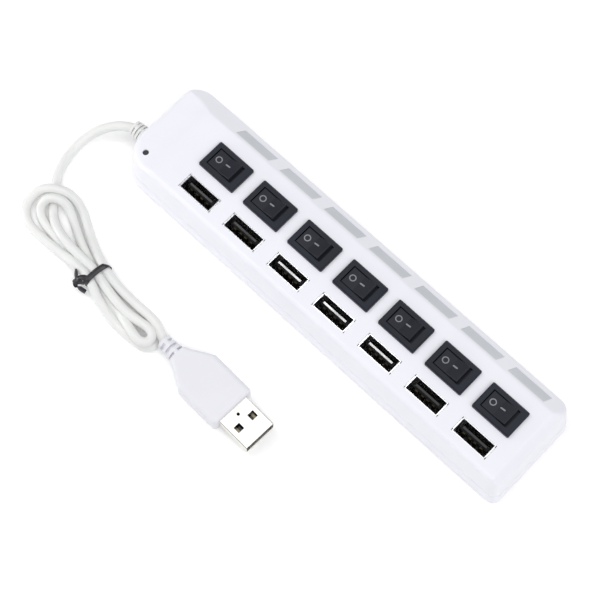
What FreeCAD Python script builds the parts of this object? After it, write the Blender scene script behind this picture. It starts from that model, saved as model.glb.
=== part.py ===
import FreeCAD, Part
import math
import os

# A desk USB hub: seven sockets in a row, each with its own rocker switch and light window.
# Millimetres, +Z up. The origin is the middle of the case's footprint, on the surface it stands
# on. +X runs along the case from the cord end to the far end; +Y runs from sockets to windows.

V = FreeCAD.Vector
Z_AXIS = V(0, 0, 1)

# Case
CASE_LENGTH = 166.0
CASE_WIDTH = 38.0
DECK_Z = 20.0            # the flat top
BASE_Z = 0.8             # underside of the case, held up by the feet
WALL = 1.8
SEAM_Z = 7.0             # where the two covers meet
DECK_BACK_Y = 10.9       # rear edge of the deck, where the bevel starts
BEVEL_RUN = 6.8
BEVEL_DROP = 5.6
TAIL_DECK_X = 78.4       # far end of the deck
TAIL_RUN = 2.9
TAIL_DROP = 3.2
DIP_X = -66.0            # the deck dips from here to the cord end
DIP_LENGTH = 9.0
DIP_DEPTH = 1.4
LEAN_HEAD = 0.163        # inward lean of each wall, per millimetre of height
LEAN_TAIL = 0.106
LEAN_FRONT = 0.042
LEAN_BACK = 0.096
CORNER_RADII = (10.0, 3.0, 5.0, 6.5)   # head front, tail front, tail back, head back
EDGE_ROUND = 1.6
BASE_ROUND = 0.7
LIP_INSET = 0.95         # the tray's lip stands this far inside the outer wall
LIP_HEIGHT = 1.5
GROOVE_HALF = 0.15       # half the height of the groove along the seam
GROOVE_DEPTH = 0.25

# Rows of switches, sockets and windows
COUNT = 7
PITCH = 19.5
ROW_MIDDLE_X = 7.5
SWITCH_Y = 0.4
SOCKET_Y = -11.65
SWITCH_SHIFT = -0.3      # each rocker and housing stands off the middle of its bezel
SOCKET_SHIFT = -0.15     # the sockets stand off the middles of the bezels
PLACES = [ROW_MIDDLE_X + PITCH * (i - (COUNT - 1) / 2) for i in range(COUNT)]
SWITCH_PLACES = [x + SWITCH_SHIFT for x in PLACES]
SOCKET_PLACES = [x + SOCKET_SHIFT for x in PLACES]

# Rocker switches
BEZEL_SIZE = (14.8, 10.4, 1.6)
BEZEL_FILLET = 0.5
BEZEL_CHAMFER = 0.4
HOUSING_SIZE = (13.0, 8.4)
HOUSING_BOTTOM_Z = 10.5
HOUSING_FLOOR = 1.0
ROCKER_RADIUS = 5.478    # its top edges turn inside a bowl just larger than this
ROCKER_HALF_WIDTH = 3.25
ROCKER_GAP = 0.2
ROCKER_TILT = 8.0        # half its travel, and the slope of each half of its top
PRESSED_HEIGHT = 2.0     # a pressed half lies level, this far above the pivot
PIVOT_Z = DECK_Z + BEZEL_SIZE[2] - PRESSED_HEIGHT
LEDGE_Z = 0.6            # the skirt stands out below this height at each end
SKIRT_DEPTH = 1.2
PIN_RADIUS = 0.95
PIN_REACH = 4.0
TERMINAL_X = 3.0
TERMINAL_SIZE = (0.6, 3.2)

# USB-A sockets, standing on the board
SOCKET_INNER = (12.5, 5.12)
SHEET = 0.3
SOCKET_OPENING = (13.7, 5.8)
MOUTH_Z = 19.9          # the liner ends just under the deck's surface
LIP_REACH = 0.22         # how far the lips at the short ends flare out
TONGUE_SIZE = (11.1, 1.84)
TONGUE_Y = 0.65          # off the socket's middle, towards the switches
TONGUE_TIP = (9.5, 0.7)
TONGUE_TOP_Z = 19.1
TONGUE_CHAMFER = 0.6
BLOCK_TOP_Z = 8.6
PIN_OFFSETS = (-3.5, -1.0, 1.0, 3.5)
CONTACT_WIDTH = 1.0
CONTACT_THICK = 0.25

# Light windows, slanted in the bevel: x at the deck side, x at the far side, reach down the bevel
WINDOW_NEAR = (-7.0, 7.6)
WINDOW_FAR = (-6.1, 8.6)
WINDOW_REACH = (1.2, 6.0)
LED_OFFSET_X = 0.9
LED_Y = 12.5
LED_RADIUS = 1.5
POWER_LED_XY = (-74.2, -13.2)
POWER_HOLE_RADIUS = 1.05

# Board
BOARD_TOP_Z = 5.4
BOARD_THICK = 1.6
BOARD_BOTTOM_Z = BOARD_TOP_Z - BOARD_THICK
BOARD_X = (-77.5, 79.0)
BOARD_Y = (-16.2, 16.2)
PIN_TIP_Z = 3.0

# Fasteners and feet
SCREW_PLACES = [(-66.0, -12.0), (-66.0, 12.0), (76.6, -12.0), (76.6, 5.0)]
SCREW_RADIUS = 1.15
SCREW_CLEAR = 1.35
SCREW_HEAD_RADIUS = 2.0
COUNTERBORE_RADIUS = 2.2
COUNTERBORE_TOP_Z = 2.4
BOSS_RADIUS = 2.3
FOOT_PLACES = [(-56.0, -13.0), (-56.0, 13.0), (66.0, -13.0), (66.0, 13.0)]
FOOT_RADIUS = 4.0
FOOT_THICK = 1.5

# Cord: a limp lead, its hank and the tie round it
CORD_RADIUS = 1.6
EXIT_Y = -6.4
EXIT_Z = 8.0
RELIEF_END_X = -87.3
LEAD_ROUTE = [
    (-86.3, -6.4, 8.0),
    (-89.5, -7.7, 7.65),
    (-93.0, -10.2, 6.5),
    (-96.1, -13.7, 4.8),
    (-98.0, -18.0, 3.1),
    (-98.7, -22.8, 2.0),
    (-98.3, -27.6, 1.65),
    (-96.9, -32.2, 1.65),
    (-94.9, -36.0, 1.65),
    (-92.6, -39.0, 1.65),
]
HANK_OUTLINE = [
    (-97.6, -46.0), (-96.2, -41.0), (-92.2, -37.4), (-87.0, -35.6), (-81.5, -35.9),
    (-76.5, -38.2), (-71.8, -40.9), (-66.5, -43.6), (-61.0, -45.6), (-56.0, -46.7),
    (-46.0, -47.6), (-36.5, -47.4), (-30.5, -49.6), (-29.2, -54.0), (-32.0, -58.6),
    (-38.0, -59.5), (-44.0, -59.6), (-50.0, -58.8), (-56.0, -56.8), (-61.0, -55.2),
    (-67.0, -54.5), (-76.0, -54.7), (-84.0, -55.2), (-91.0, -55.0), (-95.8, -51.8),
]
HANK_HEIGHT = 6.6
TIE_X = -60.9
TIE_WIDTH = 2.4
TIE_THICK = 0.5
TIE_ENDS = ((4.6, 157.0), (4.2, -12.0))   # the length and heading of each
WAIST_Y = (-55.1, -45.6)
WAIST_Z = (0.5, 6.4)

# Plug, drawn along +X from its own front face, then turned and set down
PLUG_PLACE = (3.4, -53.0)
PLUG_TURN = -2.2
PLUG_Z = 4.0             # height of its axis
PLUG_LENGTH = 12.2
PLUG_SIZE = (12.0, 4.5)
PLUG_BURIED = 5.0
GRIP_BACK = -25.8
GRIP_HALF_WIDTH = 8.2
GRIP_HEIGHT = 8.0
RIB_BACK = -32.2


def box(x, y, z):
    """A box between the two values of each pair."""
    return Part.makeBox(x[1] - x[0], y[1] - y[0], z[1] - z[0], V(x[0], y[0], z[0]))


def post(x, y, z0, z1, radius):
    return Part.makeCylinder(radius, z1 - z0, V(x, y, z0))


def along_x(x0, x1, radius, y, z):
    return Part.makeCylinder(radius, x1 - x0, V(x0, y, z), V(1, 0, 0))


def along_y(y0, y1, radius, x, z):
    return Part.makeCylinder(radius, y1 - y0, V(x, y0, z), V(0, 1, 0))


def joined(shapes):
    return shapes[0].fuse(shapes[1:]).removeSplitter()


def rounded_wire(points, radii):
    """Closed wire through the points, each corner turned by an arc of its own radius."""
    edges = []
    ends = []
    arcs = []
    for i, corner in enumerate(points):
        before = (points[i - 1] - corner).normalize()
        after = (points[(i + 1) % len(points)] - corner).normalize()
        if radii[i] == 0:
            arcs.append(None)
            ends.append((corner, corner))
            continue
        half = before.getAngle(after) / 2
        reach = radii[i] / math.tan(half)
        inward = (before + after).normalize()
        crest = corner + inward * (radii[i] / math.sin(half) - radii[i])
        start = corner + before * reach
        end = corner + after * reach
        arcs.append(Part.Arc(start, crest, end).toShape())
        ends.append((start, end))
    for i, arc in enumerate(arcs):
        if arc:
            edges.append(arc)
        start = ends[i][1]
        end = ends[(i + 1) % len(points)][0]
        if start.distanceToPoint(end) > 1e-6:
            edges.append(Part.LineSegment(start, end).toShape())
    return Part.Wire(edges)


def inset_points(points, inset):
    """Corners of an anticlockwise polygon with every side moved inwards."""
    moved = []
    for i, (x, y) in enumerate(points):
        x0, y0 = points[i - 1]
        x1, y1 = points[(i + 1) % len(points)]
        before = V(x - x0, y - y0, 0).normalize()
        after = V(x1 - x, y1 - y, 0).normalize()
        normals = V(-before.y - after.y, before.x + after.x, 0)
        scale = inset / (1 + before.dot(after))
        moved.append((x + normals.x * scale, y + normals.y * scale))
    return moved


def prism(points, place, sweep):
    """Solid from flat corner points, each put in space by place, swept by a vector."""
    corners = [place(a, b) for a, b in points]
    return Part.Face(Part.makePolygon(corners + corners[:1])).extrude(sweep)


def tangent_path(points):
    """Straight runs joined by tangent arcs, each as large as its two runs allow."""
    points = [V(*p) for p in points]
    edges = []
    radii = []
    start = points[0]
    for before, corner, after in zip(points, points[1:], points[2:]):
        back = before - corner
        ahead = after - corner
        half = (math.pi - back.getAngle(ahead)) / 2
        reach = 0.45 * min(back.Length, ahead.Length)
        radius = reach / math.tan(half)
        radii.append(radius)
        enter = corner + back.normalize() * reach
        leave = corner + ahead.normalize() * reach
        middle = (back + ahead).normalize()
        crest = corner + middle * (radius / math.cos(half) - radius)
        edges.append(Part.LineSegment(start, enter).toShape())
        edges.append(Part.Arc(enter, crest, leave).toShape())
        start = leave
    edges.append(Part.LineSegment(start, points[-1]).toShape())
    return Part.Wire(edges), radii


def tube(points, radius):
    """Round tube along the tangent path, with the radii of its bends."""
    path, radii = tangent_path(points)
    heading = V(*points[1]) - V(*points[0])
    ring = Part.Wire(Part.Circle(V(*points[0]), heading, radius).toShape())
    return path.makePipeShell([ring], True, False), path, radii


# Case


def case_outline(height, inset):
    """The case's rounded footprint at a height, with its walls leaning in."""
    rise = height - BASE_Z
    x0 = -CASE_LENGTH / 2 + LEAN_HEAD * rise + inset
    x1 = CASE_LENGTH / 2 - LEAN_TAIL * rise - inset
    y0 = -CASE_WIDTH / 2 + LEAN_FRONT * rise + inset
    y1 = CASE_WIDTH / 2 - LEAN_BACK * rise - inset
    corners = [V(x0, y0, height), V(x1, y0, height), V(x1, y1, height), V(x0, y1, height)]
    return rounded_wire(corners, [radius - inset for radius in CORNER_RADII])


def head_dip(inset):
    """What is cut away above the cord end, where the deck falls in a shallow S."""
    side = -CASE_WIDTH
    top = DECK_Z - inset
    low = top - DIP_DEPTH
    radius = (DIP_LENGTH ** 2 + DIP_DEPTH ** 2) / (4 * DIP_DEPTH)
    quarter = math.asin(DIP_LENGTH / 2 / radius) / 2
    along = radius * math.sin(quarter)
    down = radius * (1 - math.cos(quarter))
    far_x = DIP_X - DIP_LENGTH
    start = V(DIP_X, side, top)
    middle = V(DIP_X - DIP_LENGTH / 2, side, top - DIP_DEPTH / 2)
    end = V(far_x, side, low)
    outside = [end, V(-CASE_LENGTH, side, low), V(-CASE_LENGTH, side, 2 * DECK_Z),
               V(DIP_X, side, 2 * DECK_Z), start]
    edges = [Part.Arc(start, V(DIP_X - along, side, top - down), middle).toShape(),
             Part.Arc(middle, V(far_x + along, side, low + down), end).toShape()]
    edges += [Part.LineSegment(a, b).toShape() for a, b in zip(outside, outside[1:])]
    return Part.Face(Part.Wire(edges)).extrude(V(0, 2 * CASE_WIDTH, 0))


def case_block(inset):
    """The whole case as one block, with every face moved inwards by the inset."""
    walls = Part.makeLoft([case_outline(BASE_Z, inset), case_outline(DECK_Z, inset)], True, True)
    wide = CASE_WIDTH
    long = CASE_LENGTH
    bevel_end = DECK_Z - (wide - DECK_BACK_Y) * BEVEL_DROP / BEVEL_RUN
    tail_end = DECK_Z - (long - TAIL_DECK_X) * TAIL_DROP / TAIL_RUN
    section = [(-wide, bevel_end - 1), (wide, bevel_end - 1), (wide, bevel_end),
               (DECK_BACK_Y, DECK_Z), (-wide, DECK_Z)]
    profile = [(-long, tail_end - 1), (long, tail_end - 1), (long, tail_end),
               (TAIL_DECK_X, DECK_Z), (-long, DECK_Z)]
    across = prism(inset_points(section, inset), lambda y, z: V(-long, y, z), V(2 * long, 0, 0))
    lengthwise = prism(inset_points(profile, inset), lambda x, z: V(x, -wide, z),
                       V(0, 2 * wide, 0))
    block = walls.common(across).common(lengthwise).cut(head_dip(inset))
    above_floor = box((-long, long), (-wide, wide), (BASE_Z + inset, 2 * DECK_Z))
    return block.common(above_floor)


def is_top_edge(edge):
    """True on the rim of the deck, the bevel and the tail, but not across the dip."""
    ends = [vertex.Point for vertex in edge.Vertexes]
    if min(p.z for p in ends) < DECK_Z - BEVEL_DROP - 1:
        return False
    across_dip = abs(ends[0].x - ends[-1].x) < 0.01 and ends[0].x < DIP_X + 0.01
    return not (across_dip and ends[0].x > DIP_X - DIP_LENGTH - 0.01)


def is_base_edge(edge):
    return max(vertex.Point.z for vertex in edge.Vertexes) < BASE_Z + 0.01


def rounded_case():
    block = case_block(0)
    block = block.makeFillet(EDGE_ROUND, [e for e in block.Edges if is_top_edge(e)])
    return block.makeFillet(BASE_ROUND, [e for e in block.Edges if is_base_edge(e)])


def slab(z0, z1):
    return box((-CASE_LENGTH, CASE_LENGTH), (-CASE_WIDTH, CASE_WIDTH), (z0, z1))


def seam_groove():
    return slab(SEAM_Z - GROOVE_HALF, SEAM_Z + GROOVE_HALF).cut(case_block(GROOVE_DEPTH))


def gland_hole():
    return along_x(-CASE_LENGTH / 2 - 1, -CASE_LENGTH / 2 + 6, 2.45, EXIT_Y, EXIT_Z)


def switch_openings():
    dx = HOUSING_SIZE[0] / 2
    dy = HOUSING_SIZE[1] / 2
    z = (DECK_Z - 2 * WALL, DECK_Z + 1)
    return [box((x - dx, x + dx), (SWITCH_Y - dy, SWITCH_Y + dy), z) for x in SWITCH_PLACES]


def socket_openings():
    dx = SOCKET_OPENING[0] / 2
    dy = SOCKET_OPENING[1] / 2
    z = (DECK_Z - 2 * WALL, DECK_Z + 1)
    return [box((x - dx, x + dx), (SOCKET_Y - dy, SOCKET_Y + dy), z) for x in SOCKET_PLACES]


def top_cover(case, inner):
    """Upper shell: deck, bevel and ends, with every opening, and bosses for the screws."""
    shell = case.cut(inner).common(slab(SEAM_Z, 2 * DECK_Z))
    rabbet = case_block(LIP_INSET - 0.05).common(slab(SEAM_Z, SEAM_Z + LIP_HEIGHT + 0.1))
    shell = shell.cut([rabbet, seam_groove()])
    bosses = [post(x, y, BOARD_TOP_Z, DECK_Z, BOSS_RADIUS).common(case) for x, y in SCREW_PLACES]
    shell = joined([shell] + bosses)
    pilots = [post(x, y, BOARD_TOP_Z, DECK_Z / 2 + 2, SCREW_RADIUS) for x, y in SCREW_PLACES]
    windows = [bevel_block(x, window_outline(0, 0, 0), 1, -2 * WALL) for x in PLACES]
    light_hole = post(*POWER_LED_XY, DECK_Z / 2, DECK_Z + 1, POWER_HOLE_RADIUS)
    return shell.cut(pilots + windows + switch_openings() + socket_openings()
                     + [light_hole, gland_hole()])


def bottom_cover(case, inner):
    """Tray: floor, low wall with a lip, posts under the board, recesses for screws and feet."""
    tray = case.cut(inner).common(slab(0, SEAM_Z))
    tray = tray.cut(seam_groove())
    lip = case_block(LIP_INSET).cut(inner).common(slab(SEAM_Z - 1, SEAM_Z + LIP_HEIGHT))
    posts = [post(x, y, BASE_Z + WALL - 0.1, BOARD_BOTTOM_Z, 3.2) for x, y in SCREW_PLACES]
    tray = joined([tray, lip] + posts)
    holes = [post(x, y, 0, BOARD_BOTTOM_Z, SCREW_CLEAR) for x, y in SCREW_PLACES]
    bores = [post(x, y, 0, COUNTERBORE_TOP_Z, COUNTERBORE_RADIUS) for x, y in SCREW_PLACES]
    seats = [post(x, y, 0, FOOT_THICK, FOOT_RADIUS) for x, y in FOOT_PLACES]
    return tray.cut(holes + bores + seats + [gland_hole()])


# Light windows and LEDs


def bevel_block(middle_x, outline, out, depth):
    """Block through the bevel: its outline is in x and distance down the slope."""
    slope = math.hypot(BEVEL_RUN, BEVEL_DROP)
    down = V(0, BEVEL_RUN / slope, -BEVEL_DROP / slope)
    normal = V(0, BEVEL_DROP / slope, BEVEL_RUN / slope)
    edge = V(middle_x, DECK_BACK_Y, DECK_Z)
    return prism(outline, lambda x, v: edge + V(x, 0, 0) + down * v + normal * out,
                 normal * (depth - out))


def window_outline(side, near, far):
    """The window's four corners, with its sides and its two long edges moved outwards."""
    return [(WINDOW_NEAR[0] - side, WINDOW_REACH[0] - near),
            (WINDOW_NEAR[1] + side, WINDOW_REACH[0] - near),
            (WINDOW_FAR[1] + side, WINDOW_REACH[1] + far),
            (WINDOW_FAR[0] - side, WINDOW_REACH[1] + far)]


def light_window(x):
    """Translucent plate in the bevel, with a flange behind the wall."""
    plate = bevel_block(x, window_outline(-0.05, -0.05, -0.05), -0.12, -WALL)
    flange = bevel_block(x, window_outline(0.8, -0.3, 0.8), -WALL, -WALL - 0.7)
    return joined([plate, flange])


def led(x, y, foot_z, shoulder_z, radius):
    """Round LED: rim, body with a domed top, and two legs through the board."""
    body = post(x, y, foot_z, shoulder_z, radius)
    dome = Part.makeSphere(radius, V(x, y, shoulder_z))
    rim = post(x, y, foot_z, foot_z + 0.8, radius + 0.3)
    legs = [box((x + dx - 0.25, x + dx + 0.25), (y - 0.25, y + 0.25), (PIN_TIP_Z, foot_z + 0.2))
            for dx in (-1.27, 1.27)]
    return joined([body, dome, rim] + legs)


def power_led():
    """Small LED under the round hole, with a nose that stands in the hole."""
    x, y = POWER_LED_XY
    nose = post(x, y, 15.0, DECK_Z - DIP_DEPTH - 0.6, POWER_HOLE_RADIUS - 0.05)
    return joined([led(x, y, 11.5, 14.6, LED_RADIUS), nose])


# Rocker switches


def switch_bezel(x):
    """Housing of one switch: the proud bezel and the body below the deck, open on top."""
    dx, dy, height = BEZEL_SIZE[0] / 2, BEZEL_SIZE[1] / 2, BEZEL_SIZE[2]
    rim_x = x - SWITCH_SHIFT
    rim = box((rim_x - dx, rim_x + dx), (SWITCH_Y - dy, SWITCH_Y + dy),
              (DECK_Z, DECK_Z + height))
    upright = [e for e in rim.Edges if abs(e.tangentAt(e.FirstParameter).z) > 0.9]
    rim = rim.makeFillet(BEZEL_FILLET, upright)
    crown = [e for e in rim.Edges if min(v.Point.z for v in e.Vertexes) > DECK_Z + height - 0.01]
    rim = rim.makeChamfer(BEZEL_CHAMFER, crown)
    hx, hy = HOUSING_SIZE[0] / 2, HOUSING_SIZE[1] / 2
    body = box((x - hx, x + hx), (SWITCH_Y - hy, SWITCH_Y + hy), (HOUSING_BOTTOM_Z, DECK_Z))
    inside = ROCKER_HALF_WIDTH + ROCKER_GAP
    y_range = (SWITCH_Y - inside, SWITCH_Y + inside)
    bowl = along_y(*y_range, ROCKER_RADIUS + ROCKER_GAP, x, PIVOT_Z)
    chamber = box((x - 5.3, x + 5.3), y_range, (HOUSING_BOTTOM_Z + HOUSING_FLOOR, PIVOT_Z))
    bearing = along_y(SWITCH_Y - hy - 0.2, SWITCH_Y + hy + 0.2, PIN_RADIUS + 0.1, x, PIVOT_Z)
    slots = [terminal_block(x + side * TERMINAL_X, HOUSING_BOTTOM_Z - 1) for side in (-1, 1)]
    return joined([rim, body]).cut([bowl, chamber, bearing] + slots)


def terminal_block(x, z0):
    dx, dy = TERMINAL_SIZE[0] / 2, TERMINAL_SIZE[1] / 2
    top = HOUSING_BOTTOM_Z + HOUSING_FLOOR + 0.6
    return box((x - dx, x + dx), (SWITCH_Y - dy, SWITCH_Y + dy), (z0, top))


def rocker(x):
    """Rocker: shallow V top, flat ends over a ledge, side pins and a nose, its O half pressed."""
    lean = math.radians(ROCKER_TILT)
    crease = V(0, 0, PRESSED_HEIGHT / math.cos(lean))
    end_angle = math.acos(PRESSED_HEIGHT / ROCKER_RADIUS) - lean
    end_x = ROCKER_RADIUS * math.sin(end_angle)
    end_z = ROCKER_RADIUS * math.cos(end_angle)
    ledge_x = math.sqrt(ROCKER_RADIUS ** 2 - LEDGE_Z ** 2)
    half = [V(end_x, 0, end_z), V(end_x, 0, LEDGE_Z), V(ledge_x, 0, LEDGE_Z),
            V(end_x, 0, -SKIRT_DEPTH)]
    corners = [crease] + half + [V(-p.x, 0, p.z) for p in reversed(half)]
    outline = Part.makePolygon(corners + [crease])
    outline.translate(V(0, -ROCKER_HALF_WIDTH, 0))
    body = Part.Face(outline).extrude(V(0, 2 * ROCKER_HALF_WIDTH, 0))
    top = [e for e in body.Edges if is_rocker_rim(e, crease.z)]
    body = body.makeFillet(0.3, top)
    pins = along_y(-PIN_REACH, PIN_REACH, PIN_RADIUS, 0, 0)
    nose = post(0, 0, -5.4, 0, 0.9)
    whole = joined([body, pins, nose])
    whole.rotate(V(0, 0, 0), V(0, 1, 0), -ROCKER_TILT)
    whole.translate(V(x, SWITCH_Y, PIVOT_Z))
    return whole


def is_rocker_rim(edge, crease_z):
    """True on the rim of the rocker's top, but not on its crease."""
    ends = [vertex.Point for vertex in edge.Vertexes]
    on_top = min(p.z for p in ends) > crease_z - 0.01
    return on_top and max(p.z for p in ends) > crease_z + 0.5


def contact_plate(x):
    """Thin plate that the rocker's nose tips onto one terminal or the other."""
    z = HOUSING_BOTTOM_Z + HOUSING_FLOOR + 0.6
    return box((x - 4.2, x + 4.2), (SWITCH_Y - 1.3, SWITCH_Y + 1.3), (z, z + 0.4))


# USB-A sockets


def port_shell(x):
    """Bent metal liner, open at the top, with flared lips at its short ends and two legs."""
    ix, iy = SOCKET_INNER[0] / 2, SOCKET_INNER[1] / 2
    z = (BOARD_TOP_Z, MOUTH_Z)
    outer = box((x - ix - SHEET, x + ix + SHEET), (SOCKET_Y - iy - SHEET, SOCKET_Y + iy + SHEET), z)
    inner = box((x - ix, x + ix), (SOCKET_Y - iy, SOCKET_Y + iy), z)
    pieces = [outer.cut(inner)]
    for side in (-1, 1):
        lip = ix + SHEET + LIP_REACH
        flare = [(ix + SHEET, MOUTH_Z - 0.8), (lip, MOUTH_Z - 0.3), (lip, MOUTH_Z),
                 (ix + SHEET, MOUTH_Z)]
        pieces.append(prism(flare, lambda a, b: V(x + side * a, SOCKET_Y - 2.1, b), V(0, 4.2, 0)))
        pieces.append(leg_block(x, side, 0))
    return joined(pieces)


def leg_block(x, side, grow):
    """A liner's leg through the board, or with grow, the slot it stands in."""
    ix = SOCKET_INNER[0] / 2
    inner, outer = sorted((side * (ix - grow), side * (ix + SHEET + grow)))
    return box((x + inner, x + outer), (SOCKET_Y - 1 - grow, SOCKET_Y + 1 + grow),
               (PIN_TIP_Z, BOARD_TOP_Z))


def contact_block(x, grow, z0, z1):
    """One contact's blade on the face of the tongue, or with grow, the hole it stands in."""
    y = SOCKET_Y + TONGUE_Y - TONGUE_SIZE[1] / 2
    half = CONTACT_WIDTH / 2 + grow
    return box((x - half, x + half), (y - CONTACT_THICK - grow, y + grow), (z0, z1))


def port_insulator(x):
    """Block at the bottom of the socket with the tongue on it, chamfered at its tip."""
    wide, thick = TONGUE_SIZE
    y = SOCKET_Y + TONGUE_Y
    block = box((x - 6.2, x + 6.2), (SOCKET_Y - 2.5, SOCKET_Y + 2.5), (BOARD_TOP_Z, BLOCK_TOP_Z))
    shoulder_z = TONGUE_TOP_Z - TONGUE_CHAMFER
    tongue = box((x - wide / 2, x + wide / 2), (y - thick / 2, y + thick / 2),
                 (BLOCK_TOP_Z - 0.5, shoulder_z))
    rings = []
    for (dx, dy), z in (((wide / 2, thick / 2), shoulder_z),
                        ((TONGUE_TIP[0] / 2, TONGUE_TIP[1] / 2), TONGUE_TOP_Z)):
        corners = [V(x - dx, y - dy, z), V(x + dx, y - dy, z), V(x + dx, y + dy, z),
                   V(x - dx, y + dy, z)]
        rings.append(Part.makePolygon(corners + corners[:1]))
    tip = Part.makeLoft(rings, True, True)
    channels = [contact_block(x + dx, 0, BOARD_TOP_Z - 1, BLOCK_TOP_Z + 1) for dx in PIN_OFFSETS]
    return joined([block, tongue, tip]).cut(channels)


def port_contact(x):
    """Blade on the tongue with a raised bend near its tip, down through the board."""
    blade = contact_block(x, 0, PIN_TIP_Z, 17.6)
    y = SOCKET_Y + TONGUE_Y - TONGUE_SIZE[1] / 2 - CONTACT_THICK
    bend = [(y, 13.2), (y - 0.35, 14.4), (y - 0.35, 15.4), (y, 16.6)]
    return joined([blade, prism(bend, lambda a, b: V(x - 0.5, a, b), V(CONTACT_WIDTH, 0, 0))])


# Board and what is on it


def circuit_board():
    """Board with holes for screws, contacts, legs, terminals and LEDs."""
    corners = [V(x, y, BOARD_BOTTOM_Z) for x, y in
               ((BOARD_X[0], BOARD_Y[0]), (BOARD_X[1], BOARD_Y[0]), (BOARD_X[1], BOARD_Y[1]),
                (BOARD_X[0], BOARD_Y[1]))]
    board = Part.Face(rounded_wire(corners, [7.5, 2, 4, 6])).extrude(V(0, 0, BOARD_THICK))
    z = (BOARD_BOTTOM_Z - 1, BOARD_TOP_Z + 1)
    holes = [post(x, y, *z, SCREW_CLEAR) for x, y in SCREW_PLACES]
    for x in SOCKET_PLACES:
        holes += [contact_block(x + dx, 0.2, *z) for dx in PIN_OFFSETS]
        holes += [leg_block(x, side, 0.15) for side in (-1, 1)]
    for x in SWITCH_PLACES:
        holes += [terminal_block(x + side * TERMINAL_X, 0) for side in (-1, 1)]
    for x, y in led_places() + [POWER_LED_XY]:
        holes += [post(x + dx, y, *z, 0.45) for dx in (-1.27, 1.27)]
    return board.cut(holes)


def led_places():
    return [(x + LED_OFFSET_X, LED_Y) for x in PLACES]


def chip(x, y):
    """Flat-pack chip with fourteen leads a side."""
    z = BOARD_TOP_Z
    body = box((x - 5.1, x + 5.1), (y - 2.6, y + 2.6), (z + 0.1, z + 1.8))
    leads = [box((x + 0.65 * (i - 6.5) - 0.15, x + 0.65 * (i - 6.5) + 0.15), (y - 3.5, y + 3.5),
                 (z, z + 0.6)) for i in range(14)]
    return joined([body] + leads)


def crystal(x, y):
    """Oval crystal can on its base plate."""
    z = BOARD_TOP_Z
    base = box((x - 5.6, x + 5.6), (y - 2.4, y + 2.4), (z, z + 0.5))
    corners = [V(x - 5.2, y - 2, z), V(x + 5.2, y - 2, z), V(x + 5.2, y + 2, z),
               V(x - 5.2, y + 2, z)]
    can = Part.Face(rounded_wire(corners, [1.95] * 4)).extrude(V(0, 0, 3.4))
    return joined([base, can])


def capacitor(x, y):
    """Electrolytic can with a rolled groove near its foot."""
    z = BOARD_TOP_Z
    can = post(x, y, z, z + 7.0, 2.5)
    return can.cut(post(x, y, z + 1.2, z + 1.7, 2.6).cut(post(x, y, z + 1.2, z + 1.7, 2.2)))


def resistor(x, y):
    z = BOARD_TOP_Z
    return box((x - 1.0, x + 1.0), (y - 0.62, y + 0.62), (z, z + 0.5))


def cord_core(index):
    """One of the four wires from the gland's inner end down to its pad."""
    y = EXIT_Y + 0.8 * (index % 2 * 2 - 1)
    z = EXIT_Z + 0.8 * (index // 2 * 2 - 1)
    pad_y = EXIT_Y - 3.0 + 2.0 * index
    route = [(-78.2, y, z), (-76.0, y, z), (-72.5 + index, pad_y, z - 0.4),
             (-70.0 + index, pad_y, BOARD_TOP_Z + 1.6), (-70.0 + index, pad_y, BOARD_TOP_Z)]
    return tube(route, 0.42)[0]


# Fasteners and feet


def cover_screw(x, y):
    """Pan-head screw from below, with a cross recess."""
    head = post(x, y, BASE_Z + 0.2, COUNTERBORE_TOP_Z, SCREW_HEAD_RADIUS)
    shank = post(x, y, COUNTERBORE_TOP_Z - 0.1, DECK_Z / 2 + 1, SCREW_RADIUS)
    cross = [box((x - a, x + a), (y - b, y + b), (0, BASE_Z + 0.9))
             for a, b in ((1.2, 0.28), (0.28, 1.2))]
    return joined([head, shank]).cut(cross)


def rubber_foot(x, y):
    foot = post(x, y, 0, FOOT_THICK, FOOT_RADIUS)
    rim = [e for e in foot.Edges if e.Closed and e.Vertexes[0].Point.z < 0.01]
    return foot.makeFillet(0.4, rim)


# Gland, cord and tie


def ribbed_sleeve(x0, x1, y, z, radius_back, radius_front):
    """Flexible sleeve along X: a core with three rings, tied by bridges turned in alternate gaps."""
    pitch = (x1 - x0) / 6
    core = along_x(x0, x1, min(radius_back, radius_front) - 0.7, y, z)
    pieces = [core]
    for i in range(3):
        radius = radius_back + (radius_front - radius_back) * (2 * i + 1) / 6
        start = x0 + 2 * i * pitch
        pieces.append(along_x(start, start + pitch * 1.05, radius, y, z))
        reach = radius - 0.12
        flat = 0.75
        dy, dz = (flat, reach) if i % 2 == 0 else (reach, flat)
        bridge = box((start + pitch, start + 2 * pitch + 0.05), (y - dy, y + dy),
                     (z - dz, z + dz))
        pieces.append(bridge.common(along_x(start, start + 3 * pitch, reach, y, z)))
    return joined(pieces)


def strain_relief():
    """Moulded gland: flange inside the wall, neck through it, collar and sleeve outside."""
    flange = along_x(-79.4, -78.2, 3.4, EXIT_Y, EXIT_Z)
    neck = along_x(-82.5, -79.4, 2.4, EXIT_Y, EXIT_Z)
    collar = along_x(-83.3, -82.5, 3.2, EXIT_Y, EXIT_Z)
    sleeve = ribbed_sleeve(RELIEF_END_X, -83.2, EXIT_Y, EXIT_Z, 2.45, 3.0)
    return joined([flange, neck, collar, sleeve])


def cord_hank():
    """Outer shape of the folded cord, with a waist where the tie grips it."""
    curve = Part.BSplineCurve()
    curve.interpolate(Points=[V(x, y, 0) for x, y in HANK_OUTLINE], PeriodicFlag=True)
    hank = Part.Face(Part.Wire(curve.toShape())).extrude(V(0, 0, HANK_HEIGHT))
    room = TIE_WIDTH / 2 + 0.1
    around = box((TIE_X - room, TIE_X + room), (-70, -40), (-1, HANK_HEIGHT + 1))
    return hank.cut(around.cut(waist_block(room, 0)))


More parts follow.
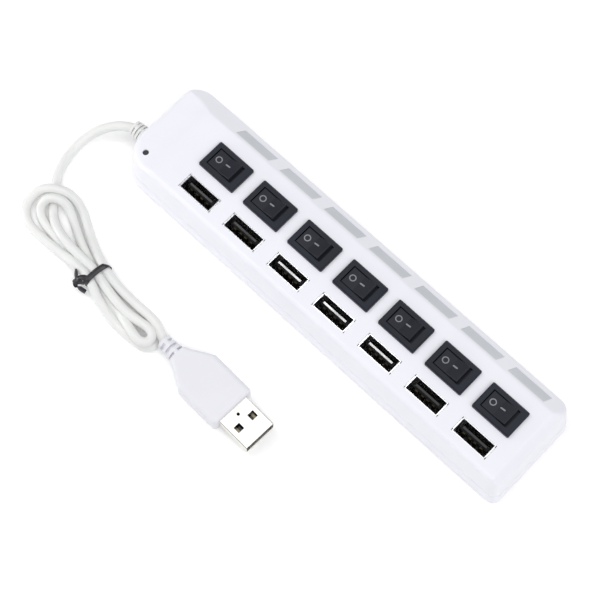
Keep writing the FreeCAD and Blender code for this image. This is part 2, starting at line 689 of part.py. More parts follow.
def waist_block(half_length, grow):
    """The gripped stretch of the hank as a rounded bar across X, grown by the tie's thickness."""
    y0, y1 = WAIST_Y[0] - grow, WAIST_Y[1] + grow
    z0, z1 = WAIST_Z[0] - grow, WAIST_Z[1] + grow
    corners = [V(TIE_X - half_length, y, z) for y, z in ((y0, z0), (y1, z0), (y1, z1), (y0, z1))]
    face = Part.Face(rounded_wire(corners, [2.0 + grow] * 4))
    return face.extrude(V(2 * half_length, 0, 0))


def cord_tie():
    """Flat ribbon round the waist, twisted at the near side, with two splayed ends."""
    half = TIE_WIDTH / 2
    ring = waist_block(half, TIE_THICK).cut(waist_block(half, 0))
    knot_x, knot_y = TIE_X - 1.6, WAIST_Y[0] - 1.5
    knot = post(knot_x, knot_y, 1.6, 4.6, 1.3)
    link = box((knot_x, TIE_X), (knot_y, WAIST_Y[0] - TIE_THICK / 2), (1.8, 4.4))
    ends = []
    for length, turn in TIE_ENDS:
        end = box((0, length), (-TIE_THICK / 2, TIE_THICK / 2), (1.7, 4.5))
        end.rotate(V(0, 0, 0), Z_AXIS, turn)
        end.translate(V(knot_x, knot_y - 0.3, 0))
        ends.append(end)
    return joined([ring, knot, link] + ends)


# Plug


def placed_plug(shape):
    shape.rotate(V(0, 0, 0), Z_AXIS, PLUG_TURN)
    shape.translate(V(PLUG_PLACE[0], PLUG_PLACE[1], 0))
    return shape


def plug_tube(x, grow):
    """The plug's rectangular metal section, between two places along it."""
    dy, dz = PLUG_SIZE[0] / 2 + grow, PLUG_SIZE[1] / 2 + grow
    return box(x, (-dy, dy), (PLUG_Z - dz, PLUG_Z + dz))


def plug_grip():
    """Overmoulded grip: a flat rounded body, a tapered shoulder and a ribbed sleeve."""
    sections = [
        (0, GRIP_HALF_WIDTH, GRIP_HEIGHT / 2, 1.6),
        (-16.5, GRIP_HALF_WIDTH, GRIP_HEIGHT / 2, 1.6),
        (-23.8, 4.0, 3.2, 1.5),
        (GRIP_BACK, 3.1, 2.9, 1.4),
    ]
    rings = [grip_section(*section) for section in sections]
    main = Part.Face(rings[0]).extrude(V(-16.5, 0, 0))
    front = [e for e in main.Edges if min(v.Point.x for v in e.Vertexes) > -0.01]
    main = main.makeFillet(1.0, front)
    shoulder = Part.makeLoft(rings[1:3], True, True)
    neck = Part.makeLoft(rings[2:4], True, True)
    sleeve = ribbed_sleeve(RIB_BACK, GRIP_BACK + 0.1, 0, PLUG_Z, 2.5, 3.0)
    pocket = plug_tube((-PLUG_BURIED, 1), 0)
    return placed_plug(joined([main, shoulder, neck, sleeve]).cut(pocket))


def grip_section(x, half_width, half_height, radius):
    corners = [V(x, y * half_width, PLUG_Z + z * half_height)
               for y, z in ((-1, -1), (1, -1), (1, 1), (-1, 1))]
    return rounded_wire(corners, [radius] * 4)


def plug_shell():
    """Folded metal tube with two square windows above and below, and a dimple on top."""
    outer = plug_tube((-PLUG_BURIED, PLUG_LENGTH), 0)
    outer = outer.makeFillet(0.5, [e for e in outer.Edges if e.Length > PLUG_LENGTH])
    shell = outer.cut(plug_tube((-PLUG_BURIED - 1, PLUG_LENGTH + 1), -SHEET))
    windows = [box((4.6, 7.0), (y - 1.2, y + 1.2), (0, 2 * PLUG_Z)) for y in (-2.95, 2.95)]
    dimple = post(2.4, 0, PLUG_Z, 2 * PLUG_Z, 0.55)
    return placed_plug(shell.cut(windows + [dimple]))


def plug_insulator():
    """Plastic tongue in the lower half of the plug, on a block that fills its root."""
    dz = PLUG_SIZE[1] / 2 - SHEET
    tongue = box((-1, 10.9), (-5.68, 5.68), (PLUG_Z - dz, PLUG_Z))
    block = box((-PLUG_BURIED + 0.2, -0.6), (-5.68, 5.68), (PLUG_Z - dz, PLUG_Z + dz - 0.02))
    return placed_plug(joined([tongue, block]))


def plug_contacts():
    strips = [box((-0.6, 10.0), (y - 0.5, y + 0.5), (PLUG_Z, PLUG_Z + 0.2)) for y in PIN_OFFSETS]
    return placed_plug(Part.makeCompound(strips))


def all_pieces():
    """Every node's shape by name."""
    case = rounded_case()
    inner = case_block(WALL)
    lead, path, radii = tube(LEAD_ROUTE, CORD_RADIUS)
    print("lead radii", [round(r, 1) for r in radii])
    section = math.pi * CORD_RADIUS ** 2
    print("lead length", round(path.Length, 2), "volume ratio", lead.Volume / section / path.Length)
    pieces = {
        "top_cover": top_cover(case, inner),
        "bottom_cover": bottom_cover(case, inner),
        "circuit_board": circuit_board(),
        "strain_relief": strain_relief(),
        "cord_lead": lead,
        "cord_hank": cord_hank(),
        "cord_tie": cord_tie(),
        "plug_grip": plug_grip(),
        "plug_shell": plug_shell(),
        "plug_insulator": plug_insulator(),
        "plug_contacts": plug_contacts(),
        "power_led": power_led(),
    }
    groups = {
        "cover_screws": [cover_screw(x, y) for x, y in SCREW_PLACES],
        "rubber_feet": [rubber_foot(x, y) for x, y in FOOT_PLACES],
        "status_leds": [led(x, y, 8.5, 12.0, LED_RADIUS) for x, y in led_places()],
        "switch_terminals": [terminal_block(x + side * TERMINAL_X, PIN_TIP_Z)
                             for x in SWITCH_PLACES for side in (-1, 1)],
        "contact_plates": [contact_plate(x) for x in SWITCH_PLACES],
        "port_contacts": [port_contact(x + dx) for x in SOCKET_PLACES for dx in PIN_OFFSETS],
        "hub_controllers": [chip(-22, 8.2), chip(17, 8.2)],
        "crystals": [crystal(-36, 8.2), crystal(36, 8.2)],
        "capacitors": [capacitor(-61.6, y) for y in (-2.0, 4.0)] + [capacitor(-61.6, -8.5)],
        "resistors": [resistor(x + 6.4, LED_Y) for x in PLACES],
        "cord_cores": [cord_core(i) for i in range(4)],
    }
    for name, solids in groups.items():
        pieces[name] = Part.makeCompound(solids)
    for number, x in enumerate(PLACES, 1):
        pieces[f"light_window_{number}"] = light_window(x)
    for number, x in enumerate(SWITCH_PLACES, 1):
        pieces[f"switch_bezel_{number}"] = switch_bezel(x)
        pieces[f"rocker_{number}"] = rocker(x)
    for number, x in enumerate(SOCKET_PLACES, 1):
        pieces[f"port_shell_{number}"] = port_shell(x)
        pieces[f"port_insulator_{number}"] = port_insulator(x)
    return pieces


def main():
    os.makedirs("parts", exist_ok=True)
    for name, shape in all_pieces().items():
        if not shape.isValid() or shape.Volume <= 0:
            print("check", name, shape.isValid(), shape.Volume)
        shape.exportStep(f"parts/{name}.step")


main()
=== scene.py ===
"""Looks of a seven-socket USB hub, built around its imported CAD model. Blender 4.5, metres."""
import math

import bmesh
import bpy
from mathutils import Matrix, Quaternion, Vector


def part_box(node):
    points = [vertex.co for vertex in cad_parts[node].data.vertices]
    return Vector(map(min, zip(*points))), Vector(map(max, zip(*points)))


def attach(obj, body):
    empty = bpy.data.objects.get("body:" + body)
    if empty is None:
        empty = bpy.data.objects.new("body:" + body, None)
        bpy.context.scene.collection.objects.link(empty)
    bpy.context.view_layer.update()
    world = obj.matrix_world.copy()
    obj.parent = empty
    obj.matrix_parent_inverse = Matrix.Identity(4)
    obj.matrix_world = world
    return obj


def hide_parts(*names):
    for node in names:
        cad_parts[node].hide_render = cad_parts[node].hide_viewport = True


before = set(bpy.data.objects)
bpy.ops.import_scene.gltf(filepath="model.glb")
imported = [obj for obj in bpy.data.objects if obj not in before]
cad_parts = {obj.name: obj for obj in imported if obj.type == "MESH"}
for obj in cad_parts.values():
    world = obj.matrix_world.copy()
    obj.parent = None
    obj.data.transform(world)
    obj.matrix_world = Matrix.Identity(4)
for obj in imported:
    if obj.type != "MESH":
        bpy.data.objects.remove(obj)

MM = 0.001
SWITCHES = range(1, 8)
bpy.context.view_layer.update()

# Camera: place in metres, direction and roll
VIEW_FROM = (0.123457, -0.152821, 0.538960)
VIEW_DIRECTION = (-0.229355, 0.248351, -0.941126)
VIEW_ROLL = 0.885        # degrees
LENS = 106.02
SENSOR = 36.0

# Cord, in millimetres: its route repeats the lead's points and goes on round the hank
CORD_DIAMETER = 3.2
CORD_ROUNDNESS = 7       # rings of faces in a quarter turn
CORD_SMOOTHNESS = 8      # steps between two points
LEAD_POINTS = [
    (-86.3, -6.4, 8.0), (-89.5, -7.7, 7.65), (-93.0, -10.2, 6.5), (-96.1, -13.7, 4.8),
    (-98.0, -18.0, 3.1), (-98.7, -22.8, 2.0), (-98.3, -27.6, 1.65), (-96.9, -32.2, 1.65),
    (-94.9, -36.0, 1.65), (-92.6, -39.0, 1.65),
]
# Along the floor under both arches, up to the top of the tie, and round a first fold
FIRST_PASS = [
    (-89.8, -42.3, 1.65), (-87.0, -45.1, 1.8), (-83.6, -47.4, 3.0), (-79.2, -49.0, 4.6),
    (-74.0, -49.9, 4.9), (-68.0, -50.1, 4.9), (-62.0, -50.1, 4.9), (-56.5, -51.5, 4.9),
    (-50.5, -52.7, 4.85), (-45.0, -53.2, 4.8), (-40.0, -52.9, 4.85), (-36.2, -52.2, 4.9),
    (-33.6, -52.3, 4.9), (-32.0, -53.7, 4.9), (-32.0, -55.8, 4.9), (-33.8, -57.2, 4.9),
    (-36.6, -57.1, 4.9),
]
# Low through the tie, then over the lead in the inner arch
SECOND_PASS = [
    (-40.2, -56.1, 4.3), (-44.5, -54.9, 2.5), (-50.0, -54.2, 1.65), (-56.3, -53.2, 1.8),
    (-62.0, -51.7, 1.9), (-67.5, -51.0, 1.75), (-73.5, -50.5, 1.65), (-79.5, -50.3, 1.65),
    (-85.0, -49.9, 1.65), (-89.4, -48.6, 1.65), (-91.7, -46.3, 2.2), (-91.3, -43.4, 4.5),
    (-89.0, -41.3, 4.95), (-85.8, -40.2, 4.5), (-82.6, -41.0, 2.5),
]
# Low through the tie again, and round the second fold on the floor
THIRD_PASS = [
    (-78.5, -43.2, 1.65), (-73.0, -46.0, 1.65), (-67.3, -48.0, 1.8), (-62.0, -48.5, 1.9),
    (-56.3, -49.6, 1.8), (-50.0, -50.4, 1.65), (-43.5, -50.7, 1.65), (-37.3, -50.6, 1.65),
    (-33.3, -50.7, 1.65), (-30.8, -52.7, 1.65), (-30.8, -55.4, 1.65), (-32.8, -57.4, 1.65),
    (-37.5, -57.8, 1.65),
]
# Along the near side, over the top of the tie and round the outer arch
FOURTH_PASS = [
    (-43.5, -58.0, 1.65), (-49.0, -57.3, 2.3), (-54.5, -56.0, 3.5), (-58.5, -54.3, 4.5),
    (-62.0, -53.3, 4.9), (-66.5, -52.9, 4.6), (-71.5, -52.9, 3.4), (-77.0, -53.3, 1.85),
    (-84.0, -53.6, 1.65), (-90.2, -53.4, 1.65), (-94.5, -50.8, 1.65), (-96.3, -46.4, 2.1),
    (-94.8, -41.8, 4.5), (-91.2, -38.9, 4.95), (-86.8, -37.0, 4.6), (-82.2, -37.2, 2.2),
]
# Through the tie on top, and into the plug
LAST_PASS = [
    (-77.5, -39.4, 1.65), (-72.8, -42.0, 1.75), (-67.4, -44.8, 3.2), (-62.0, -47.0, 4.9),
    (-56.5, -48.4, 4.9), (-50.0, -49.2, 4.8), (-43.5, -49.3, 4.8), (-37.5, -49.0, 4.8),
    (-33.5, -49.5, 4.8), (-30.6, -51.0, 4.4), (-28.2, -51.8, 4.0),
]

# Twist tie, in millimetres: each station is the ribbon's middle and its width direction
TIE_WIDTH = 2.0
TIE_FLAT = 0.12          # half the thickness of its flat sides
TIE_EDGE = (0.1, 0.6)    # the rounded edge: its reach, and its share of the thickness
TIE_BEAD = 0.3           # half the thickness over its wire
BEAD_FOOT = 0.45         # from the middle to where the wire starts to show
BEAD_SHOULDER = (0.28, 0.72)    # a point of the bead: from the middle, and share of the height
TIE_STEPS = 8            # rings between two stations
TIE_NUDGE = 0.05         # how far to look ahead and behind for its direction, in stations
TIE_BAND = [
    ((-60.5, -54.7, 6.4), (1, 0, 0)), ((-60.6, -55.5, 4.7), (1, 0, 0)),
    ((-60.5, -55.3, 2.8), (1, 0, 0)), ((-60.4, -54.2, 1.0), (1, 0, 0)),
    ((-60.3, -52.4, 0.42), (1, 0, 0)), ((-59.9, -50.0, 0.42), (1, 0, 0)),
    ((-59.6, -48.0, 0.6), (1, 0, 0)), ((-59.3, -46.8, 2.0), (1, 0, 0)),
    ((-59.2, -46.1, 4.3), (1, 0.1, 0)), ((-59.3, -46.45, 6.1), (1, 0.3, 0)),
    ((-59.7, -47.4, 6.95), (1, 0.4, 0)), ((-60.1, -48.9, 6.95), (1, 0.2, 0)),
    ((-60.4, -51.0, 6.95), (1, 0, 0)), ((-60.45, -53.2, 6.9), (1, 0, 0)),
]
# Its two ends cross in a half knot beside the bundle; one lies down, the other stands off
TIE_ENDS = [
    [((-61.0, -54.3, 6.5), (-0.5, 0.85, 0.1)), ((-62.2, -54.9, 6.1), (-0.5, 0.85, 0.1)),
     ((-63.1, -55.8, 5.3), (-0.7, 0.6, 0.2)), ((-63.3, -57.0, 4.3), (-0.9, 0.2, 0.2)),
     ((-62.6, -57.8, 3.6), (-0.4, -0.6, 0.7)), ((-61.2, -57.5, 3.1), (0, 0.5, 0.9)),
     ((-59.2, -57.1, 2.6), (0, 0.5, 0.9))],
    [((-60.9, -55.6, 4.4), (0.1, 0.2, 1)), ((-61.9, -56.3, 5.0), (0.2, 0.5, 0.8)),
     ((-62.9, -56.9, 5.2), (0.4, 0.7, 0.5)), ((-63.8, -57.0, 4.6), (0.8, 0.3, 0.5)),
     ((-64.0, -56.3, 4.6), (0.6, 0.3, 0.8)), ((-64.9, -55.4, 5.2), (0.5, 0.4, 0.8)),
     ((-66.1, -54.3, 5.9), (0.3, 0.15, 0.94))],
]

# Marks on the rockers, in millimetres from the middle of each switch
MARK_Y = 0.42
RING_X = -3.22
RING_RADII = (0.82, 1.16)
CREASE_X = -0.58         # the raised half starts here, level with the bezel
RISE = 16.0              # slope of the raised half, in degrees
BAR_Y = 0.7
BAR_MIDDLE = 1.12        # up the slope from the crease
BAR_SIZE = (2.0, 0.5)
MARK_PROUD = 0.015
MARK_DEPTH = 0.06
RING_SEGMENTS = 48
BAR_SEGMENTS = 12
SHARP_ANGLE = 40         # degrees between faces that meet in a sharp edge

# Finishes: a pattern's scale is in features per metre, and a relief is a scale and a height
PLAIN = "plain_"
# The contacts in the sockets and in the plug's holes get darker metal than bare brass: painted
# shade for the shade deep in those holes
OWN_FINISHES = {"port_contacts": "blade_dull", "plug_contacts": "blade_worn"}
SHADE_SCALE = 60
GLOSS_SCALE = 240
DRAWN_LINE_SCALE = 2500
DRAWN_LINE_HEIGHT = 1e-6
METAL_SHADE_SCALE = 300
TRACK_RELIEF = (140, 2e-5)
CORE_BAND_SCALE = 90
CORE_RELIEF = (2500, 1e-5)
EVEN = 2.0               # detail of a pattern's noise
UNEVEN = 3.0
MOTTLED = 4.0
# The part of a pattern's range that runs from one end of a shade or gloss to the other
SHADE_SPAN = (0.35, 0.65)
TRACK_SPAN = (0.1, 0.9)
CORE_SPAN = (0.42, 0.5)
GLOSS_SPAN = (0.3, 0.7)

# Stage: a light is its name, place and size in metres, and power
FLOOR_REACH = 4.0
FLOOR_Z = -0.0001        # a hair under the feet, so that the two surfaces don't mix
FLOOR_COLOUR = (0.93, 0.93, 0.93)
FLOOR_ROUGHNESS = 0.9
FLOOR_GLOW = 0.12
FLOOR_RELIEF = (900, 2e-5)
WHITE = (1, 1, 1, 1)
SKY = 0.40
LIGHTS = [
    ("key", (0.65, -0.25, 1.17), (1.0, 1.0), 6.5),
    ("head", (-0.30, -0.10, 0.50), (0.3, 0.3), 0.55),
    ("head_low", (-0.33, -0.22, 0.07), (0.1, 0.1), 0.36),
    ("back", (0.0, 0.80, 0.25), (0.6, 0.6), 0.2),
    ("top", (-0.1, -0.1, 1.2), (0.8, 0.8), 2.4),
    ("tail", (0.9, 0.0, 0.7), (0.5, 0.5), 1.5),
]
# Strips along the row of sockets, each seen in the tips of some of the tongues
GLINTS = [
    ("glint_middle", (-0.108, 0.131, 0.539), (0.106, 0.004), 0.04),
    ("glint_head", (-0.206, 0.131, 0.539), (0.066, 0.004), 0.0022),
]


def srgb(red, green, blue):
    """Linear colour from display values of 0 to 255."""
    def linear(value):
        value /= 255
        return value / 12.92 if value <= 0.04045 else ((value + 0.055) / 1.055) ** 2.4
    return (linear(red), linear(green), linear(blue))


# Materials


def shader_of(material):
    """The material's Principled shader."""
    return material.node_tree.nodes["Principled BSDF"]


def link(material, source, target):
    """Joins one node's output to another's input."""
    material.node_tree.links.new(source, target)


def surface(name, colour, roughness, metallic=0.0, **sockets):
    """A Principled surface with its even values set on the shader."""
    material = bpy.data.materials.new(name)
    material.use_nodes = True
    shader = shader_of(material)
    shader.inputs["Base Color"].default_value = (*colour, 1)
    shader.inputs["Roughness"].default_value = roughness
    shader.inputs["Metallic"].default_value = metallic
    for socket, value in sockets.items():
        shader.inputs[socket.replace("_", " ")].default_value = value
    return material


def pattern(material, scale, detail=EVEN, stretch=(1, 1, 1), kind="ShaderNodeTexNoise"):
    """A texture's value in the piece's own coordinates, scale in features per metre."""
    nodes = material.node_tree.nodes
    place = nodes.new("ShaderNodeTexCoord")
    mapping = nodes.new("ShaderNodeMapping")
    mapping.inputs["Scale"].default_value = stretch
    texture = nodes.new(kind)
    texture.inputs["Scale"].default_value = scale
    if kind == "ShaderNodeTexNoise":
        texture.inputs["Detail"].default_value = detail
    link(material, place.outputs["Object"], mapping.inputs["Vector"])
    link(material, mapping.outputs["Vector"], texture.inputs["Vector"])
    return texture.outputs[0]


def tint(material, value, dark, light, span=SHADE_SPAN):
    """Base colour that wanders between two shades."""
    ramp = material.node_tree.nodes.new("ShaderNodeValToRGB")
    for stop, place, shade in zip(ramp.color_ramp.elements, span, (dark, light)):
        stop.position = place
        stop.color = (*shade, 1)
    link(material, value, ramp.inputs["Fac"])
    link(material, ramp.outputs["Color"], shader_of(material).inputs["Base Color"])


def vary_roughness(material, value, low, high):
    """Roughness that wanders between two values."""
    spread = material.node_tree.nodes.new("ShaderNodeMapRange")
    spread.inputs["From Min"].default_value = GLOSS_SPAN[0]
    spread.inputs["From Max"].default_value = GLOSS_SPAN[1]
    spread.inputs["To Min"].default_value = low
    spread.inputs["To Max"].default_value = high
    link(material, value, spread.inputs["Value"])
    link(material, spread.outputs["Result"], shader_of(material).inputs["Roughness"])


def relief(material, value, height):
    """Small bumps, height in metres."""
    bump = material.node_tree.nodes.new("ShaderNodeBump")
    bump.inputs["Distance"].default_value = height
    link(material, value, bump.inputs["Height"])
    link(material, bump.outputs["Normal"], shader_of(material).inputs["Normal"])


def moulded(name, dark, light, gloss, bumps, **sockets):
    """Moulded plastic: uneven shade and gloss, and a skin with small bumps."""
    material = surface(name, light, gloss[0], **sockets)
    scale, height = bumps
    tint(material, pattern(material, SHADE_SCALE, UNEVEN), dark, light)
    vary_roughness(material, pattern(material, GLOSS_SCALE, MOTTLED), *gloss)
    relief(material, pattern(material, scale, UNEVEN), height)
    return material


def brushed(name, dark, light, gloss, stretch):
    """Metal with fine drawn lines along the direction that stretch makes small."""
    material = surface(name, light, gloss[0], metallic=1.0)
    lines = pattern(material, DRAWN_LINE_SCALE, UNEVEN, stretch)
    tint(material, pattern(material, METAL_SHADE_SCALE, MOTTLED), dark, light)
    vary_roughness(material, lines, *gloss)
    relief(material, lines, DRAWN_LINE_HEIGHT)
    return material


def board_material():
    """Green solder mask with paler copper runs under it."""
    material = surface("board_green", srgb(20, 92, 52), 0.35)
    scale, height = TRACK_RELIEF
    tracks = pattern(material, scale, kind="ShaderNodeTexBrick")
    tint(material, tracks, srgb(14, 76, 42), srgb(40, 128, 76), TRACK_SPAN)
    relief(material, tracks, height)
    return material


def core_material():
    """Insulated cores in red and white, side by side."""
    material = surface("core_insulation", srgb(180, 40, 36), 0.4)
    scale, height = CORE_RELIEF
    bands = pattern(material, CORE_BAND_SCALE, stretch=(0, 1, 0.3))
    tint(material, bands, srgb(190, 44, 38), srgb(226, 226, 220), CORE_SPAN)
    relief(material, pattern(material, scale), height)
    return material


def make_materials():
    """Every finish by name: most are slots of the record, and three are this script's own."""
    finishes = [
        moulded("case_white", srgb(236, 236, 244), srgb(238, 238, 246), (0.3, 0.34),
                (500, 8e-7), IOR=1.46),
        moulded("grip_white", srgb(224, 224, 230), srgb(227, 227, 233), (0.34, 0.46),
                (1800, 6e-6), IOR=1.46),
        moulded("bezel_black", srgb(25, 29, 39), srgb(31, 35, 46), (0.4, 0.52), (2600, 1.2e-5),
                Specular_IOR_Level=0.3),
        moulded("rocker_black", srgb(27, 29, 38), srgb(33, 35, 44), (0.36, 0.46), (3200, 1e-5),
                Specular_IOR_Level=0.3),
        moulded("insulator_black", srgb(9, 9, 11), srgb(13, 13, 15), (0.03, 0.06), (700, 1e-6)),
        moulded("chip_black", srgb(24, 24, 26), srgb(34, 34, 36), (0.5, 0.7), (5000, 2e-5)),
        moulded("window_grey", srgb(206, 210, 216), srgb(213, 217, 223), (0.3, 0.4),
                (1600, 1.2e-5), Transmission_Weight=0.12),
        moulded("led_clear", srgb(214, 222, 216), srgb(226, 232, 226), (0.08, 0.16),
                (900, 1e-5), Transmission_Weight=0.6),
        moulded("led_smoked", srgb(60, 60, 66), srgb(74, 74, 80), (0.12, 0.22), (900, 1e-5)),
        moulded("foot_rubber", srgb(58, 58, 60), srgb(70, 70, 72), (0.7, 0.9), (4000, 4e-5)),
        moulded("cord_jacket", srgb(225, 226, 225), srgb(230, 231, 229), (0.36, 0.48),
                (1400, 1e-5)),
        moulded("tie_black", srgb(34, 34, 40), srgb(46, 46, 53), (0.32, 0.46), (1800, 2e-5)),
        moulded("mark_grey", srgb(124, 126, 134), srgb(138, 140, 148), (0.5, 0.6), (5000, 6e-6)),
        brushed("liner_metal", srgb(238, 239, 242), srgb(246, 247, 250), (0.2, 0.3), (1, 0.1, 1)),
        brushed("plug_metal", srgb(228, 226, 220), srgb(238, 236, 231), (0.22, 0.3), (0.1, 1, 1)),
        brushed("contact_brass", srgb(150, 118, 62), srgb(176, 142, 82), (0.3, 0.4), (0.1, 1, 1)),
        # Darkened socket contact blades: painted shade for the deep sockets that hold them
        brushed("blade_dull", srgb(62, 56, 44), srgb(84, 76, 58), (0.4, 0.5), (0.1, 1, 1)),
        # Darkened plug contact blades: painted shade for the plug's dark holes
        brushed("blade_worn", srgb(112, 104, 88), srgb(134, 126, 108), (0.3, 0.4), (0.1, 1, 1)),
        brushed("can_metal", srgb(176, 178, 180), srgb(204, 206, 208), (0.24, 0.4), (1, 1, 0.1)),
        brushed("screw_steel", srgb(150, 152, 158), srgb(186, 188, 192), (0.26, 0.42), (1, 1, 0.2)),
        board_material(),
        core_material(),
    ]
    return {material.name: material for material in finishes}


def set_plain_materials_aside():
    """Renames the frame's plain materials, so that the finishes can take their names."""
    for material in list(bpy.data.materials):
        material.name = PLAIN + material.name


def dress_cad_nodes(materials):
    """Gives each CAD node the finish of its slot, or for the contacts a darkened finish with
    painted shade, and drops the plain materials.
    """
    for name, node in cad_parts.items():
        for slot in node.material_slots:
            finish = OWN_FINISHES.get(name, slot.material.name.removeprefix(PLAIN))
            slot.material = materials[finish]
    for material in list(bpy.data.materials):
        if material.name.startswith(PLAIN):
            bpy.data.materials.remove(material)


# Pieces


def scaled(point):
    """Millimetres to metres."""
    return Vector(point) * MM


def new_piece(name, data, material, body):
    """Object of one finish that rides on a body."""
    piece = bpy.data.objects.new(name, data)
    bpy.context.scene.collection.objects.link(piece)
    piece.data.materials.append(material)
    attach(piece, body)
    return piece


def make_cord(materials):
    """One smooth round cord along the whole route."""
    curve = bpy.data.curves.new("cord", "CURVE")
    curve.dimensions = "3D"
    curve.bevel_depth = CORD_DIAMETER / 2 * MM
    curve.bevel_resolution = CORD_ROUNDNESS
    curve.resolution_u = CORD_SMOOTHNESS
    curve.use_fill_caps = True
    route = LEAD_POINTS + FIRST_PASS + SECOND_PASS + THIRD_PASS + FOURTH_PASS + LAST_PASS
    spline = curve.splines.new("NURBS")
    spline.points.add(len(route) - 1)
    for point, place in zip(spline.points, route):
        point.co = (*scaled(place), 1)
    spline.order_u = 3
    spline.use_endpoint_u = True
    cord = new_piece("cord", curve, materials["cord_jacket"], "hub")
    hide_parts("cord_lead", "cord_hank")
    return cord


def catmull(values, place, closed):
    """Smooth value between stations, at a place counted in stations."""
    count = len(values)
    first = int(place)
    part = place - first

    def pick(i):
        return values[i % count] if closed else values[max(0, min(count - 1, i))]
    a, b, c, d = (pick(first + i) for i in (-1, 0, 1, 2))
    return 0.5 * (2 * b + (c - a) * part + (2 * a - 5 * b + 4 * c - d) * part ** 2
                  + (3 * b - a - 3 * c + d) * part ** 3)


def ribbon_section():
    """The ribbon's outline, once round: across, up."""
    half = TIE_WIDTH / 2
    reach, share = TIE_EDGE
    shoulder, shoulder_share = BEAD_SHOULDER
    upper = [(-half, share * TIE_FLAT), (-half + reach, TIE_FLAT), (-BEAD_FOOT, TIE_FLAT),
             (-shoulder, shoulder_share * TIE_BEAD), (0, TIE_BEAD)]
    upper += [(-x, z) for x, z in reversed(upper[:-1])]
    return upper + [(x, -z) for x, z in reversed(upper)]


def add_ribbon(mesh, stations, closed):
    """Sweeps the ribbon's outline along the stations, turning with their width direction."""
    middles = [scaled(place) for place, _ in stations]
    widths = [Vector(width).normalized() for _, width in stations]
    outline = ribbon_section()
    spans = len(stations) if closed else len(stations) - 1
    count = spans * TIE_STEPS if closed else spans * TIE_STEPS + 1
    rings = []
    for i in range(count):
        place = i / TIE_STEPS
        middle = catmull(middles, place, closed)
        ahead = catmull(middles, min(place + TIE_NUDGE, spans), closed)
        behind = catmull(middles, max(place - TIE_NUDGE, 0), closed)
        along = (ahead - behind).normalized()
        across = catmull(widths, place, closed)
        across = (across - along * across.dot(along)).normalized()
        up = along.cross(across)
        rings.append([mesh.verts.new(middle + across * (x * MM) + up * (z * MM))
                      for x, z in outline])
    size = len(outline)
    pairs = list(zip(rings, rings[1:]))
    if closed:
        pairs.append((rings[-1], rings[0]))
    for one, other in pairs:
        for i in range(size):
            j = (i + 1) % size
            mesh.faces.new((one[i], one[j], other[j], other[i]))
    if not closed:
        mesh.faces.new(list(reversed(rings[0])))
        mesh.faces.new(rings[-1])


def finished_mesh(name, build):
    """Mesh from a bmesh builder, normals out, smooth but for its sharp edges."""
    mesh = bmesh.new()
    build(mesh)
    bmesh.ops.recalc_face_normals(mesh, faces=mesh.faces)
    data = bpy.data.meshes.new(name)
    mesh.to_mesh(data)
    mesh.free()
    data.shade_smooth()
    data.set_sharp_from_angle(angle=math.radians(SHARP_ANGLE))
    return data


def make_tie(materials):
    """Flat twist tie: a band round the bundle, and two ends that cross beside it."""
    def build(mesh):
        add_ribbon(mesh, TIE_BAND, True)
        for stations in TIE_ENDS:
            add_ribbon(mesh, stations, False)
    tie = new_piece("twist_tie", finished_mesh("twist_tie", build), materials["tie_black"],
                    "hub")
    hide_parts("cord_tie")
    return tie


def add_walls(mesh, outlines, place):
    """Joins flat outlines, each at its height, by faces from one to the next."""
    loops = []
    for outline, height in outlines:
        loops.append([mesh.verts.new(place(x, y, height)) for x, y in outline])
    count = len(loops[0])
    for one, other in zip(loops, loops[1:]):
        for i in range(count):
            j = (i + 1) % count
            mesh.faces.new((one[i], one[j], other[j], other[i]))
    return loops


def circle(radius):
    """Points all round a circle."""
    turns = (math.radians(360 * i / RING_SEGMENTS) for i in range(RING_SEGMENTS))
    return [(radius * math.cos(turn), radius * math.sin(turn)) for turn in turns]


def half_circle(radius, middle_x, start):
    """Points of a half circle, from a start in degrees."""
    turns = (math.radians(start + 180 * i / (BAR_SEGMENTS - 1)) for i in range(BAR_SEGMENTS))
    return [(middle_x + radius * math.cos(turn), radius * math.sin(turn)) for turn in turns]


def add_ring_mark(mesh, place):
    """The O: a flat ring, closed all round."""
    inner, outer = (circle(radius) for radius in RING_RADII)
    loops = add_walls(mesh, [(outer, -MARK_DEPTH), (outer, MARK_PROUD), (inner, MARK_PROUD),
                             (inner, -MARK_DEPTH)], place)
    for i in range(RING_SEGMENTS):
        j = (i + 1) % RING_SEGMENTS
        mesh.faces.new((loops[3][i], loops[3][j], loops[0][j], loops[0][i]))


def add_bar_mark(mesh, place):
    """The I: a flat bar with round ends."""
    half, radius = BAR_SIZE[0] / 2, BAR_SIZE[1] / 2
    run = half - radius
    outline = half_circle(radius, run, -90) + half_circle(radius, -run, 90)
    loops = add_walls(mesh, [(outline, -MARK_DEPTH), (outline, MARK_PROUD)], place)
    mesh.faces.new(loops[0])
    mesh.faces.new(loops[1])


def mark_places(number):
    """Two functions from a mark's own millimetres to a place on each half of a rocker's top."""
    low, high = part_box(f"switch_bezel_{number}")
    middle_x = (low[0] + high[0]) / 2 / MM
    level = high[2] / MM
    rise = math.radians(RISE)

    def on_level(x, y, height):
        return scaled((middle_x + RING_X + x, MARK_Y + y, level + height))

    def on_slope(x, y, height):
        up = BAR_MIDDLE + x
        return scaled((middle_x + CREASE_X + up * math.cos(rise) - height * math.sin(rise),
                       BAR_Y + y,
                       level + up * math.sin(rise) + height * math.cos(rise)))
    return on_level, on_slope


def make_mark(number, material):
    """O on the pressed half of a rocker, I on the raised half, printed a hair proud."""
    on_level, on_slope = mark_places(number)

    def build(mesh):
        add_ring_mark(mesh, on_level)
        add_bar_mark(mesh, on_slope)
    name = f"rocker_mark_{number}"
    new_piece(name, finished_mesh(name, build), material, f"rocker_{number}")


# Stage


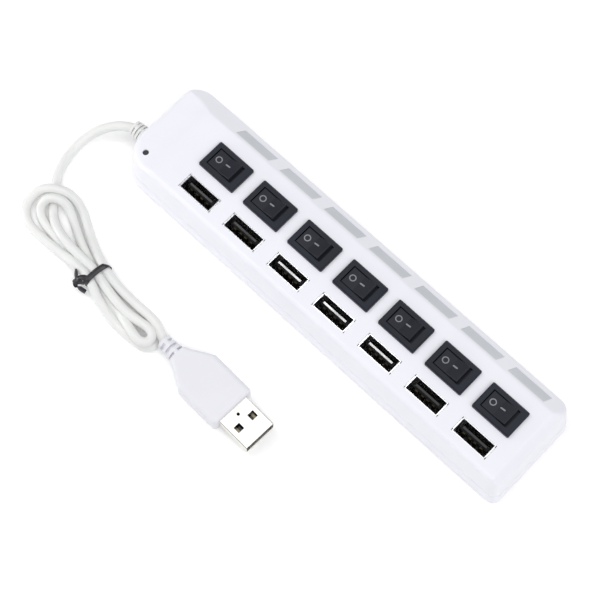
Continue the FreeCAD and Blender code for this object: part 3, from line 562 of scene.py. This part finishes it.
def make_floor():
    """Pale paper floor."""
    data = bpy.data.meshes.new("floor")
    corners = [(x * FLOOR_REACH, y * FLOOR_REACH, FLOOR_Z)
               for x, y in ((-1, -1), (1, -1), (1, 1), (-1, 1))]
    data.from_pydata(corners, [], [(0, 1, 2, 3)])
    floor = bpy.data.objects.new("floor", data)
    bpy.context.scene.collection.objects.link(floor)
    paper = surface("floor_paper", FLOOR_COLOUR, FLOOR_ROUGHNESS, Specular_IOR_Level=0.1,
                    Emission_Color=WHITE, Emission_Strength=FLOOR_GLOW)
    scale, height = FLOOR_RELIEF
    relief(paper, pattern(paper, scale, UNEVEN), height)
    floor.data.materials.append(paper)


def make_sky():
    """Even white light from all round."""
    world = bpy.data.worlds.new("sky")
    world.use_nodes = True
    background = world.node_tree.nodes["Background"]
    background.inputs["Color"].default_value = WHITE
    background.inputs["Strength"].default_value = SKY
    bpy.context.scene.world = world


def soft_light(name, place, size, watts, aim):
    """Flat rectangular light that faces along aim."""
    light = bpy.data.lights.new(name, "AREA")
    light.shape = "RECTANGLE"
    light.size, light.size_y = size
    light.energy = watts
    lamp = bpy.data.objects.new(name, light)
    lamp.location = place
    lamp.rotation_euler = aim.to_track_quat("-Z", "Y").to_euler()
    bpy.context.scene.collection.objects.link(lamp)


def make_lights():
    """Soft lights that face the hub, and the strips that face straight down."""
    for name, place, size, watts in LIGHTS:
        soft_light(name, place, size, watts, aim=-Vector(place))
    for name, place, size, watts in GLINTS:
        soft_light(name, place, size, watts, aim=Vector((0, 0, -1)))


def make_camera():
    """Camera at the hub's main view, and plain display colours."""
    scene = bpy.context.scene
    scene.view_settings.view_transform = "Standard"
    data = bpy.data.cameras.new("camera")
    data.lens = LENS
    data.sensor_width = SENSOR
    camera = bpy.data.objects.new("camera", data)
    camera.location = VIEW_FROM
    camera.rotation_mode = "QUATERNION"
    aim = Vector(VIEW_DIRECTION).to_track_quat("-Z", "Y")
    camera.rotation_quaternion = aim @ Quaternion((0, 0, 1), math.radians(VIEW_ROLL))
    scene.collection.objects.link(camera)
    scene.camera = camera


def main():
    """Dresses the frame, makes the pieces that CAD leaves to this script, and sets the stage."""
    set_plain_materials_aside()
    materials = make_materials()
    dress_cad_nodes(materials)
    cord = make_cord(materials)
    tie = make_tie(materials)
    for number in SWITCHES:
        make_mark(number, materials["mark_grey"])
    make_floor()
    make_sky()
    make_lights()
    make_camera()


main()
